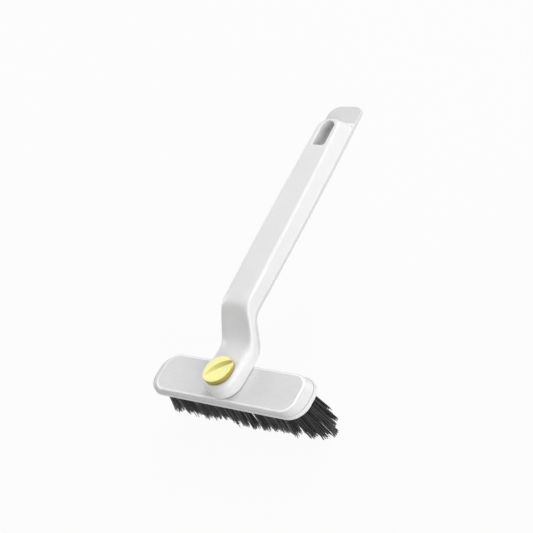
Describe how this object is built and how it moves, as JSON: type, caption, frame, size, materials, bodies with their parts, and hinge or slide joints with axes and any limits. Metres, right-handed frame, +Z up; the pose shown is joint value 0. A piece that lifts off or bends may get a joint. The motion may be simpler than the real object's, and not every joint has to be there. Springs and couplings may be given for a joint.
{
  "type": "grout brush",
  "caption": "Grout brush with a swivelling V-trimmed bristle head, a twist lock knob, a cranked handle, a hang slot and a scraper tail.",
  "frame": {"origin": "middle of the whole part in plan, at the level of the lowest bristle tips", "axes": "+X along the head, +Y from the head to the tail of the handle, +Z up, along the swivel axis"},
  "size_m": [0.125, 0.2156, 0.0786],
  "materials": {
    "shell_white": "smooth white moulded plastic",
    "plate_white": "smooth white moulded plastic",
    "head_white": "white moulded plastic with a fine satin grain",
    "base_white": "smooth white moulded plastic",
    "knob_yellow": "pale yellow moulded plastic",
    "brass": "turned brass",
    "steel": "zinc plated steel",
    "nylon": "natural nylon",
    "anchor_wire": "flat brass wire",
    "bristle_black": "stiff dark nylon filaments"
  },
  "bodies": {
    "handle": {"handle_shell": "shell_white", "handle_back_plate": "plate_white", "back_plate_screws": "steel", "swivel_washer": "nylon", "spring_washer": "steel", "knob_washer": "steel"},
    "head": {"head_cover": "head_white", "bristle_base": "base_white", "base_screws": "steel", "pivot_bolt": "steel", "tuft_anchors": "anchor_wire", "tufts_front_row": "bristle_black", "tufts_back_row": "bristle_black", "tufts_inner_front_row": "bristle_black", "tufts_inner_back_row": "bristle_black", "tufts_left_end": "bristle_black", "tufts_right_end": "bristle_black"},
    "knob": {"lock_knob": "knob_yellow", "knob_insert": "brass"}
  },
  "joints": [
    {"name": "head_swivel", "type": "hinge", "parent": "handle", "child": "head", "pos_m": [0, -0.0932, 0.04], "axis": [0, 0, 1], "range_deg": [-60, 60]},
    {"name": "knob_turn", "type": "hinge", "parent": "handle", "child": "knob", "pos_m": [0, -0.0932, 0.04], "axis": [0, 0, 1], "range_deg": [0, 90]}
  ]
}
